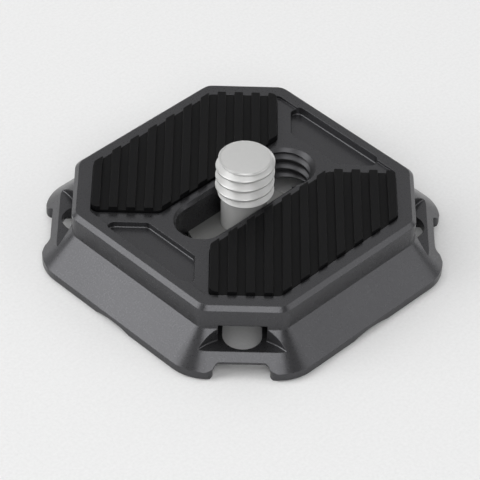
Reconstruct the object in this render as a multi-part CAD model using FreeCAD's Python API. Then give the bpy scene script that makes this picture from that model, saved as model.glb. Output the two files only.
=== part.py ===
import FreeCAD, Part
import math
import os
from FreeCAD import Vector

# Camera quick release plate with a captive 1/4 inch screw, in millimetres.
# Z is up, the bottom face lies on Z = 0 and the plate's centre is at X = Y = 0.
# The screw slot runs along X, and its tapped end is the +X one.

# Plate body: an octagonal dovetail plate with 45 degree flanks
flange_half = 19.0             # centre to each of the four long sides, at the base
flange_corner = 21.25          # centre to each of the four cut corners, at the base
flange_corner_radius = 5.0     # plan radius of the eight edges, at the base
rim_height = 1.05              # upright band at the foot of the dovetail
dovetail_height = 3.2          # rise, and run, of the 45 degree flank
plate_height = 7.1
top_chamfer = 0.45
base_chamfer = 0.2

# Sunk field on the top face, inside a raised border
border_width = 1.3             # along the four long sides, inside the top bevel
border_corner_width = 1.5      # along the four cut corners
field_depth = 0.3
field_radius = 0.85

# Rubber pads, one each side of the slot
pad_inner_edge = 3.75          # centre line of the plate to the pad's slot side
pad_neck = 3.54                # centre of the plate to the pad's inner slanted sides
pad_bed_depth = 0.9            # bed below the field
pad_clearance = 0.05
rib_count = 11
rib_width = 0.94
rib_rise = 0.42
rib_edge_radius = 0.1

# Shallow lightening pockets beyond the two ends of the slot
side_pocket_width = 3.8
side_pocket_bite = 0.35        # past the field's edge, into the border
side_pocket_neck = 5.02        # centre of the plate to the pocket's slanted sides
side_pocket_depth = 0.7        # below the field
side_pocket_radius = 0.8
side_pocket_floor_chamfer = 0.08

# Screw slot and the space for the screw's head under it
slot_reach = 6.3               # centre to the centre of each rounded end
slot_half_width = 2.62
slot_chamfer = 0.34
tapped_radius = 3.175          # 1/4 inch thread, major radius
web_bottom = 3.1               # height of the web's underside
head_space_clearance = 0.4     # round the head, over its whole travel

# Strap anchor at each corner: a round recess, an oblong hole in its ledge, a channel below
recess_radius = 6.1
recess_offset = 2.35           # recess's own centre, outside the cut corner
ledge_height = 2.62
recess_height = 2.08
recess_floor_chamfer = 0.08
anchor_inset = 3.97            # centre of the strap hole's round outer end, inside the cut corner
anchor_length = 1.9            # between the centres of the hole's two round ends
anchor_bore_radius = 2.6       # half width of the same opening above the ledge
anchor_hole_radius = 2.04      # half width of the strap hole
anchor_bar_thickness = 1.02
channel_half_width = 2.92
channel_mouth_radius = 0.9
channel_roof_chamfer = 0.5
channel_lip_height = 0.25      # upright lip where the channel's roof meets the flank
channel_lip_radius = 0.8       # its two upper corners

# Shallow relief under the middle of each long side
relief_half_length = 3.1
relief_depth = 0.55
relief_reach = 5.0

# Captive camera screw
shank_radius = 2.45
thread_radius = 3.125
thread_start_above = 0.25      # thread's lower end above the plate's top
thread_end_above = 4.68        # screw's tip above the plate's top
thread_tip_chamfer = 0.18
thread_foot_chamfer = 0.4
head_radius = 6.0
head_thickness = 2.0
head_chamfer = 0.35
hex_across_flats = 4.0
hex_depth = 1.3

# Sliding washer between the head and the web
washer_radius = 6.2
washer_thickness = 0.5
washer_bore_clearance = 0.05
washer_web_clearance = 0.03

# Cutting tools pass the faces that they open by this much
overrun = 1.0

# Heights and places that follow from the sizes above
dovetail_top = rim_height + dovetail_height
wall_inset = dovetail_height
top_inset = dovetail_height + top_chamfer
field_half = flange_half - top_inset - border_width
field_corner = flange_corner - top_inset - border_corner_width
field_height = plate_height - field_depth
side_pocket_outer = field_half + side_pocket_bite
side_pocket_inner = side_pocket_outer - side_pocket_width
recess_centre = flange_corner + recess_offset
anchor_centre = flange_corner - anchor_inset
anchor_inner_centre = anchor_centre - anchor_length
pad_bed_height = field_height - pad_bed_depth
ROOT_TWO = math.sqrt(2.0)


def rounded_wire(points, radii, z):
    """Closed wire through the points, each corner rounded by its own radius."""
    count = len(points)
    edges = []
    arc_ends = []
    for i in range(count):
        corner = Vector(points[i][0], points[i][1], z)
        before = Vector(points[i - 1][0], points[i - 1][1], z)
        after = Vector(points[(i + 1) % count][0], points[(i + 1) % count][1], z)
        to_before = (before - corner).normalize()
        to_after = (after - corner).normalize()
        half_angle = to_before.getAngle(to_after) / 2.0
        reach = radii[i] / math.tan(half_angle)
        bisector = (to_before + to_after).normalize()
        centre = corner + bisector * (radii[i] / math.sin(half_angle))
        start = corner + to_before * reach
        end = corner + to_after * reach
        middle = centre - bisector * radii[i]
        arc_ends.append((start, middle, end))
    for i in range(count):
        start, middle, end = arc_ends[i]
        edges.append(Part.Arc(start, middle, end).toShape())
        edges.append(Part.makeLine(end, arc_ends[(i + 1) % count][0]))
    return Part.Wire(edges)


def prism(wire, height):
    return Part.Face(wire).extrude(Vector(0, 0, height))


def octagon_points(half, corner):
    """Octagon with four long sides at half and four cut corners at corner."""
    short = corner * ROOT_TWO - half
    first = [(half, -short), (half, short)]
    points = []
    for turn in range(4):
        angle = math.radians(90 * turn)
        for x, y in first:
            points.append((x * math.cos(angle) - y * math.sin(angle),
                           x * math.sin(angle) + y * math.cos(angle)))
    return points


def plate_outline(inset, z):
    """The plate's outline, drawn in evenly from the base, at one height."""
    points = octagon_points(flange_half - inset, flange_corner - inset)
    return rounded_wire(points, [flange_corner_radius - inset] * 8, z)


def tapered_layer(inset_low, z_low, inset_high, z_high):
    low = plate_outline(inset_low, z_low)
    high = plate_outline(inset_high, z_high)
    return Part.makeLoft([low, high], True, True)


def plate_blank():
    """Base bevel, upright band, 45 degree dovetail, upright wall, top bevel."""
    layers = [
        tapered_layer(base_chamfer, 0.0, 0.0, base_chamfer),
        tapered_layer(0.0, base_chamfer, 0.0, rim_height),
        tapered_layer(0.0, rim_height, wall_inset, dovetail_top),
        tapered_layer(wall_inset, dovetail_top, wall_inset, plate_height - top_chamfer),
        tapered_layer(wall_inset, plate_height - top_chamfer, top_inset, plate_height),
    ]
    blank = layers[0]
    for layer in layers[1:]:
        blank = blank.fuse(layer)
    return blank.removeSplitter()


def field_cut():
    wire = rounded_wire(octagon_points(field_half, field_corner), [field_radius] * 8, field_height)
    return prism(wire, field_depth + overrun)


def pad_points(clearance):
    """Corners of the +Y pad: a flat hexagon with slanted ends."""
    inner = pad_inner_edge + clearance
    outer = field_half - clearance
    inner_slant = pad_neck * ROOT_TWO - clearance * ROOT_TWO
    outer_slant = (field_corner - clearance) * ROOT_TWO
    tip_x = (outer_slant + inner_slant) / 2.0
    tip_y = (outer_slant - inner_slant) / 2.0
    right = [(inner + inner_slant, inner), (tip_x, tip_y), (outer_slant - outer, outer)]
    left = [(-x, y) for x, y in reversed(right)]
    return right + left


def pad_prism(clearance, z, height):
    radius = field_radius - clearance
    return prism(rounded_wire(pad_points(clearance), [radius] * 6, z), height)


def side_pocket_cut():
    """The +X lightening pocket, with a small chamfer round its floor."""
    slant = side_pocket_neck * ROOT_TWO
    inner_y = side_pocket_inner - slant
    outer_y = side_pocket_outer - slant
    points = [(side_pocket_inner, -inner_y), (side_pocket_outer, -outer_y),
              (side_pocket_outer, outer_y), (side_pocket_inner, inner_y)]
    floor = field_height - side_pocket_depth
    tool = prism(rounded_wire(points, [side_pocket_radius] * 4, floor), side_pocket_depth + overrun)
    floor_edges = [e for e in tool.Edges if e.BoundBox.ZMax < floor + 0.001]
    return tool.makeChamfer(side_pocket_floor_chamfer, floor_edges)


def stadium_wire(half_width, left_x, right_x, z):
    """Oblong outline along X, with its two round ends centred at left_x and right_x."""
    top = Part.makeLine(Vector(right_x, half_width, z), Vector(left_x, half_width, z))
    left = Part.Arc(Vector(left_x, half_width, z), Vector(left_x - half_width, 0, z),
                    Vector(left_x, -half_width, z)).toShape()
    bottom = Part.makeLine(Vector(left_x, -half_width, z), Vector(right_x, -half_width, z))
    right = Part.Arc(Vector(right_x, -half_width, z), Vector(right_x + half_width, 0, z),
                     Vector(right_x, half_width, z)).toShape()
    return Part.Wire([top, left, bottom, right])


def slot_cut():
    """Through slot, its bevelled rim and the wider tapped end."""
    through = prism(stadium_wire(slot_half_width, -slot_reach, slot_reach, web_bottom - overrun),
                    plate_height - web_bottom + 2 * overrun)
    bevel_low = stadium_wire(slot_half_width, -slot_reach, slot_reach, field_height - slot_chamfer)
    bevel_high = stadium_wire(slot_half_width + slot_chamfer, -slot_reach, slot_reach, field_height)
    bevel = Part.makeLoft([bevel_low, bevel_high], True, True)
    tapped = Part.makeCylinder(tapped_radius, plate_height - web_bottom + 2 * overrun,
                               Vector(slot_reach, 0, web_bottom - overrun))
    return through.fuse(bevel).fuse(tapped)


def head_space_cut():
    radius = washer_radius + head_space_clearance
    return prism(stadium_wire(radius, -slot_reach, slot_reach, -overrun), web_bottom + overrun)


def channel_wire(z):
    """Plan of the strap channel: round inner end, straight sides, flared mouth."""
    width = channel_half_width
    mouth = channel_mouth_radius
    inner = anchor_inner_centre
    bend = flange_corner - mouth
    beyond = flange_corner + overrun
    slope = mouth * (1.0 - 1.0 / ROOT_TWO)
    points = {
        "low_inner": Vector(inner, -width, z),
        "tip": Vector(inner - width, 0, z),
        "high_inner": Vector(inner, width, z),
        "high_bend": Vector(bend, width, z),
        "high_middle": Vector(bend + mouth / ROOT_TWO, width + slope, z),
        "high_mouth": Vector(flange_corner, width + mouth, z),
        "high_beyond": Vector(beyond, width + mouth, z),
        "low_beyond": Vector(beyond, -width - mouth, z),
        "low_mouth": Vector(flange_corner, -width - mouth, z),
        "low_middle": Vector(bend + mouth / ROOT_TWO, -width - slope, z),
        "low_bend": Vector(bend, -width, z),
    }
    p = points
    return Part.Wire([
        Part.Arc(p["low_inner"], p["tip"], p["high_inner"]).toShape(),
        Part.makeLine(p["high_inner"], p["high_bend"]),
        Part.Arc(p["high_bend"], p["high_middle"], p["high_mouth"]).toShape(),
        Part.makeLine(p["high_mouth"], p["high_beyond"]),
        Part.makeLine(p["high_beyond"], p["low_beyond"]),
        Part.makeLine(p["low_beyond"], p["low_mouth"]),
        Part.Arc(p["low_mouth"], p["low_middle"], p["low_bend"]).toShape(),
        Part.makeLine(p["low_bend"], p["low_inner"]),
    ])


def anchor_cut():
    """Strap anchor on the +X axis, to be turned to each corner."""
    recess = Part.makeCylinder(recess_radius, recess_height, Vector(recess_centre, 0, ledge_height))
    floor_edges = [e for e in recess.Edges if e.BoundBox.ZMax < ledge_height + 0.001]
    recess = recess.makeChamfer(recess_floor_chamfer, floor_edges)
    bore = prism(stadium_wire(anchor_bore_radius, anchor_inner_centre, anchor_centre, ledge_height),
                 recess_height)
    channel_top = ledge_height - anchor_bar_thickness
    hole = prism(stadium_wire(anchor_hole_radius, anchor_inner_centre, anchor_centre,
                              channel_top - recess_floor_chamfer),
                 anchor_bar_thickness + 2 * recess_floor_chamfer)
    channel = prism(channel_wire(-overrun), channel_top + overrun)
    roof_edges = [e for e in channel.Edges if e.BoundBox.ZMin > channel_top - 0.001
                  and e.BoundBox.XMax < flange_corner + 0.001]
    channel = channel.makeChamfer(channel_roof_chamfer, roof_edges)
    lip_top = channel_top + channel_lip_height
    lip_start = flange_corner - (lip_top - rim_height)
    lip = Part.makeBox(lip_top + overrun, 2 * channel_half_width, lip_top,
                       Vector(lip_start, -channel_half_width, 0))
    lip_edges = [e for e in lip.Edges if e.BoundBox.ZMin > lip_top - 0.001
                 and e.BoundBox.XLength > lip_top]
    lip = lip.makeFillet(channel_lip_radius, lip_edges)
    return recess.fuse(bore).fuse(hole).fuse(channel).fuse(lip)


def relief_cut():
    """Shallow arched relief under the +X side's middle."""
    radius = (relief_half_length ** 2 + relief_depth ** 2) / (2 * relief_depth)
    return Part.makeCylinder(radius, relief_reach + overrun,
                             Vector(flange_half - relief_reach, 0, relief_depth - radius),
                             Vector(1, 0, 0))


def turned(shape, degrees):
    copy = shape.copy()
    copy.rotate(Vector(0, 0, 0), Vector(0, 0, 1), degrees)
    return copy


def plate_body():
    cuts = [field_cut(), slot_cut(), head_space_cut()]
    bed = pad_prism(0.0, pad_bed_height, pad_bed_depth + overrun)
    pocket = side_pocket_cut()
    for degrees in (0, 180):
        cuts.append(turned(bed, degrees))
        cuts.append(turned(pocket, degrees))
    anchor = anchor_cut()
    relief = relief_cut()
    for quarter in range(4):
        cuts.append(turned(anchor, 45 + 90 * quarter))
        cuts.append(turned(relief, 90 * quarter))
    body = plate_blank()
    for cut in cuts:
        body = body.cut(cut)
    return body.removeSplitter()


def grip_pad():
    """The +Y pad: a flat base, and raised ribs across it at 45 degrees."""
    base = pad_prism(pad_clearance, pad_bed_height, plate_height - pad_bed_height)
    upper = pad_prism(pad_clearance, plate_height - rib_rise, 2 * rib_rise)
    slant_low = -(field_corner - pad_clearance)
    slant_high = pad_neck - pad_clearance
    pitch = (slant_high - slant_low - rib_width) / (rib_count - 1)
    ribs = []
    for i in range(rib_count):
        start = slant_low + pitch * i
        strip = Part.makeBox(rib_width, 4 * flange_half, 2 * rib_rise,
                             Vector(start, -2 * flange_half, plate_height - rib_rise))
        long_edges = [e for e in strip.Edges if e.BoundBox.YLength > 2 * flange_half
                      and e.BoundBox.ZMin > plate_height]
        strip = strip.makeFillet(rib_edge_radius, long_edges)
        strip.rotate(Vector(0, 0, 0), Vector(0, 0, 1), -45)
        ribs.append(upper.common(strip))
    pad = base
    for rib in ribs:
        pad = pad.fuse(rib)
    return pad.removeSplitter()


def hexagon_prism(across_flats, z, height):
    corner = across_flats / math.sqrt(3.0)
    points = [Vector(corner * math.cos(math.radians(60 * i)), corner * math.sin(math.radians(60 * i)), z)
              for i in range(7)]
    return prism(Part.makePolygon(points), height)


def camera_screw():
    """Turned screw: wide low head, plain shank, threaded end drawn as its major cylinder."""
    head_top = web_bottom - washer_web_clearance - washer_thickness
    head_bottom = head_top - head_thickness
    foot = plate_height + thread_start_above
    tip = plate_height + thread_end_above
    outline = [
        (0, head_bottom), (head_radius - head_chamfer, head_bottom),
        (head_radius, head_bottom + head_chamfer), (head_radius, head_top),
        (shank_radius, head_top), (shank_radius, foot),
        (thread_radius - thread_foot_chamfer, foot), (thread_radius, foot + thread_foot_chamfer),
        (thread_radius, tip - thread_tip_chamfer), (thread_radius - thread_tip_chamfer, tip),
        (0, tip), (0, head_bottom),
    ]
    profile = Part.makePolygon([Vector(r, 0, z) for r, z in outline])
    screw = Part.Face(profile).revolve(Vector(0, 0, 0), Vector(0, 0, 1), 360)
    socket = hexagon_prism(hex_across_flats, head_bottom - overrun, hex_depth + overrun)
    return screw.cut(socket)


def slide_washer():
    """Thin washer that slides with the screw under the web."""
    top = web_bottom - washer_web_clearance
    bottom = top - washer_thickness
    bore = shank_radius + washer_bore_clearance
    outline = [(bore, bottom), (washer_radius, bottom), (washer_radius, top), (bore, top), (bore, bottom)]
    profile = Part.makePolygon([Vector(r, 0, z) for r, z in outline])
    return Part.Face(profile).revolve(Vector(0, 0, 0), Vector(0, 0, 1), 360)


def export(shape, name):
    solid = shape if shape.ShapeType == "Solid" else shape.Solids[0]
    if len(shape.Solids) != 1 or not solid.isValid():
        raise RuntimeError(name + " is not one valid solid")
    solid.exportStep("parts/" + name + ".step")
    print(name, round(solid.Volume, 2), "mm3")


os.makedirs("parts", exist_ok=True)
export(plate_body(), "plate_body")
left_pad = grip_pad()
export(left_pad, "grip_pad_left")
export(turned(left_pad, 180), "grip_pad_right")
export(camera_screw(), "camera_screw")
export(slide_washer(), "slide_washer")
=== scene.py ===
import math

import bpy
from mathutils import Matrix, Quaternion, Vector


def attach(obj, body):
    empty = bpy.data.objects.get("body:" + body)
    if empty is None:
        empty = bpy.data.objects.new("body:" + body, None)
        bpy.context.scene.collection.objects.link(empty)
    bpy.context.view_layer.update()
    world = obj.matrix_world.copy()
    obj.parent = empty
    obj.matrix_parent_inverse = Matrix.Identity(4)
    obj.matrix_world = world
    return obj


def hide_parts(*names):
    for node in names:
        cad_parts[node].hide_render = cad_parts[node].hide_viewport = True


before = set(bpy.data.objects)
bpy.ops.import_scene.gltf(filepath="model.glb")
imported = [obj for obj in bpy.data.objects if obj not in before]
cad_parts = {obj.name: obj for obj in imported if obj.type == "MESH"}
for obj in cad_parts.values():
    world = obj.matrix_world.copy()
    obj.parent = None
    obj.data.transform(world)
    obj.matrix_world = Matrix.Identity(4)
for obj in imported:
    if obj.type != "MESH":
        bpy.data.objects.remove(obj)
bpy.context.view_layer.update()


# ---- Plate body
# One block of aluminium, milled to an octagonal 45 degree dovetail, then bead blasted and
# anodised dark grey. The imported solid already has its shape, so it only gets its finish here.

MM = 0.001                     # all sizes are written in mm, the scene is in metres

blasting_grit = 0.16           # real grit is about 0.05 mm; drawn coarser, so that it shows
grit_depth = 0.006
dye_cloud = 7.0
blasted_edge = 0.10            # radius that milling and blasting leave on every edge


def linear(hex_colour):
    """sRGB hex to the linear RGBA that a shader socket takes."""
    channels = [int(hex_colour[i:i + 2], 16) / 255 for i in (1, 3, 5)]
    return tuple(c / 12.92 if c <= 0.04045 else ((c + 0.055) / 1.055) ** 2.4 for c in channels) + (1.0,)


def add_node(tree, kind, settings=None, inputs=None):
    """Adds a node. An input given as a socket is linked, any other is set on the node's own socket."""
    made = tree.nodes.new(kind)
    for name, value in (settings or {}).items():
        setattr(made, name, value)
    for name, value in (inputs or {}).items():
        if isinstance(value, bpy.types.NodeSocket):
            tree.links.new(value, made.inputs[name])
        else:
            made.inputs[name].default_value = value
    return made


def new_material(name):
    """An empty node material with its output, and the object coordinates in metres."""
    material = bpy.data.materials.new(name)
    material.use_nodes = True
    tree = material.node_tree
    tree.nodes.clear()
    output = add_node(tree, "ShaderNodeOutputMaterial")
    place = add_node(tree, "ShaderNodeTexCoord").outputs["Object"]
    return material, tree, output, place


def anodised_aluminium(name, low_roughness, high_roughness):
    """Anodised aluminium: a dark even grey, mostly metal sheen and partly scattered light,
    with a fine satin grit and faint cloudiness in the dye."""
    material, tree, output, place = new_material(name)
    grit = add_node(tree, "ShaderNodeTexNoise", None,
                    {"Vector": place, "Scale": 1 / (blasting_grit * MM), "Detail": 2.0,
                     "Roughness": 0.6})
    cloud = add_node(tree, "ShaderNodeTexNoise", None,
                     {"Vector": place, "Scale": 1 / (dye_cloud * MM), "Detail": 2.0,
                      "Roughness": 0.5})
    dye = add_node(tree, "ShaderNodeMix", {"data_type": "RGBA"},
                   {0: cloud.outputs["Fac"], 6: linear("#48484A"), 7: linear("#4E4E50")})
    sheen = add_node(tree, "ShaderNodeMapRange", None,
                     {"Value": grit.outputs["Fac"], "From Min": 0.3, "From Max": 0.7,
                      "To Min": low_roughness, "To Max": high_roughness})
    edges = add_node(tree, "ShaderNodeBevel", {"samples": 6}, {"Radius": blasted_edge * MM})
    relief = add_node(tree, "ShaderNodeBump", None,
                      {"Strength": 0.25, "Distance": grit_depth * MM,
                       "Height": grit.outputs["Fac"], "Normal": edges.outputs["Normal"]})
    shader = add_node(tree, "ShaderNodeBsdfPrincipled", None,
                      {"Base Color": dye.outputs[2], "Metallic": 0.8,
                       "Roughness": sheen.outputs["Result"], "Normal": relief.outputs["Normal"]})
    tree.links.new(shader.outputs["BSDF"], output.inputs["Surface"])
    return material


def give_finish(piece, material):
    """One material on the whole piece, and the record's slot that it stands for."""
    if piece.data.materials:
        for place in piece.material_slots:
            place.material = material
    else:
        piece.data.materials.append(material)


body_finish = anodised_aluminium("bead_blasted_anodised_aluminium", 0.26, 0.34)
give_finish(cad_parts["plate_body"], body_finish)


# ---- Thread in the tapped end of the slot
# A 1/4 inch thread cut in the plate itself, with a countersunk mouth. The slot cutter has
# passed through it, so it runs only round the slot's end and in two short horns beside it.

thread_pitch = 1.27            # 20 to the inch
thread_flank = 30              # degrees from square to the axis
crest_rounding = 0.07
flat_width = thread_pitch / 8 + 0.02

tapped_x = 6.3
tapped_major = 3.175
slot_half_width = 2.62
web_low, web_high = 3.1, 6.8
hidden_lap = 0.03              # how far the ring's wall reaches into the plate's metal
ridge_height = 5.325           # height of a ridge's middle on the +X side


def deselect():
    """Leaves nothing selected and no piece active, in object mode."""
    for piece in bpy.context.selected_objects:
        piece.select_set(False)
    bpy.context.view_layer.objects.active = None


def draw_profile(name, points):
    """A half outline in the XZ plane, drawn point by point: (radius, height) in mm."""
    deselect()
    start = (points[0][0] * MM, 0, points[0][1] * MM)
    bpy.ops.mesh.primitive_plane_add(size=MM, location=start)
    piece = bpy.context.active_object
    piece.name = piece.data.name = name
    bpy.ops.object.transform_apply(location=True, rotation=True, scale=True)
    bpy.ops.object.mode_set(mode="EDIT")
    bpy.ops.mesh.select_mode(type="VERT")
    bpy.ops.mesh.select_all(action="SELECT")
    bpy.ops.mesh.merge(type="CENTER")
    for (r0, z0), (r1, z1) in zip(points, points[1:]):
        step = ((r1 - r0) * MM, 0, (z1 - z0) * MM)
        bpy.ops.mesh.extrude_region_move(TRANSFORM_OT_translate={"value": step})
    bpy.ops.object.mode_set(mode="OBJECT")
    return piece


def close_up(piece):
    """Merges what meets and turns every face outwards."""
    deselect()
    piece.select_set(True)
    bpy.context.view_layer.objects.active = piece
    bpy.ops.object.mode_set(mode="EDIT")
    bpy.ops.mesh.select_all(action="SELECT")
    bpy.ops.mesh.remove_doubles(threshold=0.0005 * MM)
    bpy.ops.mesh.normals_make_consistent(inside=False)
    bpy.ops.object.mode_set(mode="OBJECT")


def turned_solid(name, points, steps=96):
    """A piece turned on a lathe about Z, from its half outline."""
    piece = draw_profile(name, points)
    bpy.ops.object.mode_set(mode="EDIT")
    bpy.ops.mesh.select_all(action="SELECT")
    bpy.ops.mesh.spin(steps=steps, angle=math.tau, center=(0, 0, 0), axis=(0, 0, 1))
    bpy.ops.object.mode_set(mode="OBJECT")
    close_up(piece)
    return piece


def threaded_rod(name, minor, major, crest_height, low, high, steps=96):
    """A right-hand threaded rod about Z, cut off square at both ends. The middle of its crest
    passes crest_height on the +X side."""
    flank = (major - minor) * math.tan(math.radians(thread_flank))
    half_crest = flat_width / 2
    soft = crest_rounding
    turns_below = math.ceil((crest_height - low) / thread_pitch) + 2
    middle = crest_height - turns_below * thread_pitch
    half = [(major, half_crest - 0.04), (major - 0.25 * soft, half_crest),
            (major - soft, half_crest + 0.3 * soft + 0.02), (minor + 0.05, half_crest + flank - 0.02),
            (minor, half_crest + flank + 0.05)]
    points = [(minor, middle - thread_pitch / 2)]
    points += [(r, middle - z) for r, z in reversed(half)]
    points += [(r, middle + z) for r, z in half]
    points += [(minor, middle + thread_pitch / 2)]
    rod = draw_profile(name, points)
    wind = rod.modifiers.new("wind", "SCREW")
    wind.axis = "Z"
    wind.angle = math.tau
    wind.screw_offset = thread_pitch * MM
    wind.iterations = turns_below + math.ceil((high - crest_height) / thread_pitch) + 2
    wind.steps = wind.render_steps = steps
    wind.use_merge_vertices = True
    wind.merge_threshold = 0.0005 * MM
    bpy.ops.object.modifier_apply(modifier=wind.name)
    bpy.ops.object.mode_set(mode="EDIT")
    for height, side in ((low, -1), (high, 1)):
        bpy.ops.mesh.select_all(action="SELECT")
        bpy.ops.mesh.bisect(plane_co=(0, 0, height * MM), plane_no=(0, 0, side),
                            use_fill=True, clear_outer=True, threshold=0.0005 * MM)
    bpy.ops.object.mode_set(mode="OBJECT")
    close_up(rod)
    return rod


def combine(piece, tool, operation):
    """Cuts, joins or intersects the piece with a tool, which is used up."""
    deselect()
    piece.select_set(True)
    bpy.context.view_layer.objects.active = piece
    cut = piece.modifiers.new("cut", "BOOLEAN")
    cut.operation = operation
    cut.object = tool
    cut.solver = "EXACT"
    bpy.ops.object.modifier_apply(modifier=cut.name)
    bpy.data.meshes.remove(tool.data)
    return piece


def shift(piece, x, y=0.0, z=0.0):
    """Moves the mesh itself, in mm, so that the object stays at the origin."""
    piece.data.transform(Matrix.Translation((x * MM, y * MM, z * MM)))


def smooth(piece, degrees):
    deselect()
    piece.select_set(True)
    bpy.context.view_layer.objects.active = piece
    bpy.ops.object.shade_smooth_by_angle(angle=math.radians(degrees))


def tapped_thread():
    """A countersunk ring with the slot's passage taken out of it, then tapped."""
    wall = tapped_major + hidden_lap
    low, high = web_low + 0.01, web_high - 0.01
    mouth_low = web_high - (tapped_major - slot_half_width) - 0.02
    ring = turned_solid("tapped_thread", [
        (0, low), (wall, low), (wall, high), (tapped_major - 0.01, high),
        (slot_half_width - hidden_lap, mouth_low), (0, mouth_low)])
    deselect()
    bpy.ops.mesh.primitive_cube_add(size=1, location=(-5 * MM, 0, 5 * MM),
                                    scale=(10 * MM, 2 * slot_half_width * MM, 6 * MM))
    slot_cutter = bpy.context.active_object
    bpy.ops.object.transform_apply(location=True, rotation=True, scale=True)
    combine(ring, slot_cutter, "DIFFERENCE")
    tap = threaded_rod("tap", slot_half_width, tapped_major + 0.02,
                       ridge_height + thread_pitch / 2, web_low - 0.5, web_high + 0.5)
    combine(ring, tap, "DIFFERENCE")
    shift(ring, tapped_x)
    smooth(ring, 35)
    return ring


# The tap tears the soft metal a little, so the thread is duller than the blasted faces.
tapped_finish = anodised_aluminium("tapped_anodised_aluminium", 0.37, 0.45)
thread_ring = tapped_thread()
give_finish(thread_ring, tapped_finish)
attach(thread_ring, "plate")


# ---- Grip pads
# Two hexagons of black rubber, moulded with diagonal ribs and glued into beds in the plate.
# Matt, nearly black, with the faint bloom and the fine grain of a spark-eroded mould.

mould_grain = 0.12
grain_depth = 0.01
rubber_bloom = 5.0


def moulded_black_rubber():
    """Moulded rubber: a deep matt black that only shows grey at a glancing angle."""
    material, tree, output, place = new_material("moulded_black_rubber")
    grain = add_node(tree, "ShaderNodeTexNoise", None,
                     {"Vector": place, "Scale": 1 / (mould_grain * MM), "Detail": 3.0,
                      "Roughness": 0.6})
    bloom = add_node(tree, "ShaderNodeTexNoise", None,
                     {"Vector": place, "Scale": 1 / (rubber_bloom * MM), "Detail": 2.0,
                      "Roughness": 0.5})
    black = add_node(tree, "ShaderNodeMix", {"data_type": "RGBA"},
                     {0: bloom.outputs["Fac"], 6: linear("#060607"), 7: linear("#0A0A0B")})
    matt = add_node(tree, "ShaderNodeMapRange", None,
                    {"Value": grain.outputs["Fac"], "From Min": 0.3, "From Max": 0.7,
                     "To Min": 0.42, "To Max": 0.54})
    relief = add_node(tree, "ShaderNodeBump", None,
                      {"Strength": 0.3, "Distance": grain_depth * MM, "Height": grain.outputs["Fac"]})
    shader = add_node(tree, "ShaderNodeBsdfPrincipled", None,
                      {"Base Color": black.outputs[2], "Metallic": 0.0, "IOR": 1.42,
                       "Specular IOR Level": 0.17, "Roughness": matt.outputs["Result"],
                       "Normal": relief.outputs["Normal"]})
    tree.links.new(shader.outputs["BSDF"], output.inputs["Surface"])
    return material


pad_finish = moulded_black_rubber()
for pad in ("grip_pad_left", "grip_pad_right"):
    give_finish(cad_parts[pad], pad_finish)


# ---- Slide washer
# A thin stainless washer between the screw's head and the plate's web, which slides with
# the screw. It is stamped from rolled sheet, so its grain runs one way across it.

rolled_grain = (2.0, 0.08, 0.08)
steel_edge = 0.05              # radius that deburring leaves
mark_depth = 0.003


def satin_steel(name, colour, metallic, low_roughness, high_roughness, grain, relief_strength,
                drawn=None):
    """Stainless steel, satin: bright neutral metal whose dull surface scatters part of the
    light. Its tool marks are a stretched grain, grain being their size in mm along X, Y, Z.
    The crests and the tip's chamfer are smoother and more mirror like. drawn holds the radius
    in mm beyond which they lie, and the chamfer's radius and height added up."""
    material, tree, output, place = new_material(name)
    marks_place = add_node(tree, "ShaderNodeMapping", {"vector_type": "POINT"},
                           {"Vector": place, "Scale": tuple(1 / (g * MM) for g in grain)})
    marks = add_node(tree, "ShaderNodeTexNoise", None,
                     {"Vector": marks_place.outputs["Vector"], "Scale": 1.0, "Detail": 3.0,
                      "Roughness": 0.55})
    tone = add_node(tree, "ShaderNodeMix", {"data_type": "RGBA"},
                    {0: marks.outputs["Fac"], 6: linear(colour[0]), 7: linear(colour[1])})
    satin = add_node(tree, "ShaderNodeMapRange", None,
                     {"Value": marks.outputs["Fac"], "From Min": 0.3, "From Max": 0.7,
                      "To Min": low_roughness, "To Max": high_roughness})
    mirror, dullness = metallic, satin.outputs["Result"]
    if drawn:
        flat = add_node(tree, "ShaderNodeVectorMath", {"operation": "MULTIPLY"},
                        {0: place, 1: (1.0, 1.0, 0.0)})
        radius = add_node(tree, "ShaderNodeVectorMath", {"operation": "LENGTH"},
                          {0: flat.outputs["Vector"]}).outputs["Value"]
        above = add_node(tree, "ShaderNodeSeparateXYZ", None, {"Vector": place}).outputs["Z"]
        past_crest = add_node(tree, "ShaderNodeMath", {"operation": "SUBTRACT"},
                              {0: radius, 1: drawn[0] * MM}).outputs["Value"]
        both = add_node(tree, "ShaderNodeMath", {"operation": "ADD"}, {0: radius, 1: above})
        past_chamfer = add_node(tree, "ShaderNodeMath", {"operation": "SUBTRACT"},
                                {0: both.outputs["Value"], 1: drawn[1] * MM}).outputs["Value"]
        past = add_node(tree, "ShaderNodeMath", {"operation": "MAXIMUM"},
                        {0: past_crest, 1: past_chamfer})
        bright = add_node(tree, "ShaderNodeMapRange", None,
                          {"Value": past.outputs["Value"], "From Min": -0.03 * MM,
                           "From Max": 0.03 * MM}).outputs["Result"]
        mirror = add_node(tree, "ShaderNodeMix", {"data_type": "FLOAT"},
                          {0: bright, 2: metallic, 3: 0.6}).outputs[0]
        dullness = add_node(tree, "ShaderNodeMix", {"data_type": "FLOAT"},
                            {0: bright, 2: dullness, 3: 0.33}).outputs[0]
    edges = add_node(tree, "ShaderNodeBevel", {"samples": 6}, {"Radius": steel_edge * MM})
    relief = add_node(tree, "ShaderNodeBump", None,
                      {"Strength": relief_strength, "Distance": mark_depth * MM,
                       "Height": marks.outputs["Fac"], "Normal": edges.outputs["Normal"]})
    shader = add_node(tree, "ShaderNodeBsdfPrincipled", None,
                      {"Base Color": tone.outputs[2], "Metallic": mirror,
                       "Roughness": dullness, "Normal": relief.outputs["Normal"]})
    tree.links.new(shader.outputs["BSDF"], output.inputs["Surface"])
    return material


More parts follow.
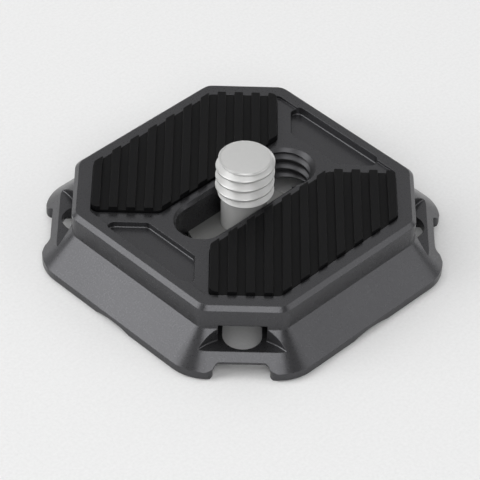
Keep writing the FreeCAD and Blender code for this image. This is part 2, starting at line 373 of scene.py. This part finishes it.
# The washer's grey is set darker than the screw's stainless steel. This is painted shade for the deep
# slot it lies in, not a darker metal.
washer_finish_with_painted_shade = satin_steel("rolled_stainless_steel_painted_shade", ("#8D8D8C", "#969695"), 0.65, 0.40, 0.50,
                            rolled_grain, 0.2)
give_finish(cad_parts["slide_washer"], washer_finish_with_painted_shade)


# ---- Camera screw
# A 1/4 inch stainless screw turned from bar: a wide low head with a hex socket, a plain
# shank that slides in the slot, and about three turns of thread above the plate, chamfered
# at foot and tip, where each end closes in a low whole rim.

screw_major = 3.125
screw_minor = 2.48
shank_radius = 2.45
head_radius, head_low, head_high = 6.0, 0.57, 2.57
head_chamfer, head_edge = 0.35, 0.12
thread_foot, screw_tip = 7.10, 11.78
foot_rim, tip_rim = 2.86, 2.74
foot_chamfer, tip_chamfer = 0.36, 0.43
crest_height = 7.60            # middle of the lowest full crest, on the +X side
hex_across_flats, hex_depth = 4.0, 1.3
turned_grain = (0.5, 0.5, 0.10)


def camera_screw():
    """The thread is cut to its chamfered envelope first, then joined to a turned core that
    holds head, shank, both rims and the socket. The two never share a face."""
    envelope = turned_solid("threaded_screw", [
        (0, thread_foot + 0.03), (foot_rim - 0.1, thread_foot + 0.03),
        (screw_major, thread_foot + foot_chamfer), (screw_major, screw_tip - tip_chamfer),
        (tip_rim + 0.03, screw_tip - 0.05), (tip_rim - 0.1, screw_tip - 0.03),
        (0, screw_tip - 0.03)])
    rod = threaded_rod("thread", screw_minor, screw_major + 0.004, crest_height,
                       thread_foot - 0.5, screw_tip + 0.5)
    screw = combine(envelope, rod, "INTERSECT")
    buried_core = shank_radius - 0.15
    core = turned_solid("core", [
        (0, head_low), (head_radius - head_chamfer, head_low),
        (head_radius, head_low + head_chamfer), (head_radius, head_high - head_edge),
        (head_radius - head_edge, head_high), (shank_radius, head_high),
        (shank_radius, thread_foot), (foot_rim - 0.06, thread_foot),
        (foot_rim, thread_foot + 0.06), (foot_rim, thread_foot + 0.15),
        (buried_core, thread_foot + 0.52), (buried_core, screw_tip - 0.42),
        (tip_rim - 0.04, screw_tip - 0.29), (tip_rim, screw_tip - 0.21),
        (tip_rim - 0.015, screw_tip - 0.14), (tip_rim - 0.06, screw_tip - 0.05),
        (tip_rim - 0.12, screw_tip - 0.012), (tip_rim - 0.20, screw_tip), (0, screw_tip)])
    deselect()
    bpy.ops.mesh.primitive_cylinder_add(
        vertices=6, radius=hex_across_flats / math.sqrt(3) * MM, depth=(hex_depth + 1) * MM,
        location=(0, 0, (head_low + (hex_depth - 1) / 2) * MM), rotation=(0, 0, math.radians(30)))
    socket = bpy.context.active_object
    bpy.ops.object.transform_apply(location=True, rotation=True, scale=True)
    combine(core, socket, "DIFFERENCE")
    combine(screw, core, "UNION")
    smooth(screw, 32)
    return screw


screw_finish = satin_steel("turned_stainless_steel", ("#BFBFBE", "#C7C7C6"), 0.30, 0.40, 0.48,
                           turned_grain, 0.2,
                           (screw_major - 0.08, tip_rim + screw_tip - 0.20))
screw = camera_screw()
give_finish(screw, screw_finish)
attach(screw, "screw")
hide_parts("camera_screw")


# ---- Table, light and camera
# A pale matt table. The surround is bright near the horizon and dim above, and five soft
# boxes stand round the plate, the strong ones to its left and above the camera.

roller_nap = 0.35


def matt_white_paint():
    """Matt white paint on board: nearly flat, with the shallow grain of a paint roller."""
    material, tree, output, place = new_material("matt_white_paint")
    nap = add_node(tree, "ShaderNodeTexNoise", None,
                   {"Vector": place, "Scale": 1 / (roller_nap * MM), "Detail": 3.0,
                    "Roughness": 0.6})
    white = add_node(tree, "ShaderNodeMix", {"data_type": "RGBA"},
                     {0: nap.outputs["Fac"], 6: linear("#E2E2E2"), 7: linear("#F2F2F2")})
    relief = add_node(tree, "ShaderNodeBump", None,
                      {"Strength": 0.15, "Distance": 0.05 * MM, "Height": nap.outputs["Fac"]})
    shader = add_node(tree, "ShaderNodeBsdfPrincipled", None,
                      {"Base Color": white.outputs[2], "Roughness": 0.9,
                       "Specular IOR Level": 0.1, "Normal": relief.outputs["Normal"]})
    tree.links.new(shader.outputs["BSDF"], output.inputs["Surface"])
    return material


deselect()
bpy.ops.mesh.primitive_plane_add(size=2.4, location=(0, 0, 0))
table = bpy.context.active_object
table.name = table.data.name = "table_top"
table.data.materials.append(matt_white_paint())

surround = bpy.data.worlds.new("pale_surround")
surround.use_nodes = True
sky = surround.node_tree
height = add_node(sky, "ShaderNodeSeparateXYZ", None,
                  {"Vector": add_node(sky, "ShaderNodeTexCoord").outputs["Generated"]})
ceiling = add_node(sky, "ShaderNodeMapRange", {"interpolation_type": "SMOOTHSTEP"},
                   {"Value": height.outputs["Z"], "From Min": 0.10, "From Max": 0.26})
backdrop = add_node(sky, "ShaderNodeMix", {"data_type": "RGBA"},
                    {0: ceiling.outputs["Result"], 6: (2.0, 2.0, 2.0, 1.0),
                     7: (0.2, 0.2, 0.2, 1.0)})
sky.links.new(backdrop.outputs[2], sky.nodes["Background"].inputs["Color"])
bpy.context.scene.world = surround


def direction(azimuth, elevation):
    """Unit vector from the plate, azimuth turning from +X towards +Y, both in degrees."""
    a, e = math.radians(azimuth), math.radians(elevation)
    return Vector((math.cos(e) * math.cos(a), math.cos(e) * math.sin(a), math.sin(e)))


def soft_box(name, azimuth, elevation, width, height, brightness):
    """A soft box, 1 m away, that faces the plate. Brightness is its surface's own radiance."""
    lamp = bpy.data.lights.new(name, "AREA")
    lamp.shape = "RECTANGLE"
    lamp.size, lamp.size_y = width, height
    lamp.energy = brightness * math.pi * width * height
    holder = bpy.data.objects.new(name, lamp)
    holder.location = direction(azimuth, elevation)
    holder.rotation_mode = "QUATERNION"
    holder.rotation_quaternion = (-direction(azimuth, elevation)).to_track_quat("-Z", "Y")
    bpy.context.scene.collection.objects.link(holder)


soft_box("soft_box_left", 142, 35, 0.54, 1.1, 3.3)
soft_box("soft_box_front", -134, 46, 0.54, 0.75, 2.9)
soft_box("soft_box_overhead", 44, 76, 0.54, 0.54, 1.4)
soft_box("soft_box_right", -51, 31, 0.54, 0.54, 1.38)
soft_box("soft_box_back", 44, 48, 1.3, 0.9, 0.42)

camera_azimuth, camera_elevation, camera_roll = -136.03, 42.08, 2.08
camera_distance = 278.7 * MM
camera_aim = Vector((-5.777, -5.198, 7.137)) * MM
camera_lens = 202.1

camera = bpy.data.objects.new("camera", bpy.data.cameras.new("camera"))
camera.data.sensor_width = 36.0
camera.data.lens = camera_lens
camera.data.clip_start, camera.data.clip_end = 0.01, 10.0
camera.location = camera_aim + direction(camera_azimuth, camera_elevation) * camera_distance
camera.rotation_mode = "QUATERNION"
level = (-direction(camera_azimuth, camera_elevation)).to_track_quat("-Z", "Y")
camera.rotation_quaternion = level @ Quaternion((0, 0, 1), math.radians(camera_roll))
bpy.context.scene.collection.objects.link(camera)
bpy.context.scene.camera = camera

bpy.context.scene.view_settings.view_transform = "Standard"
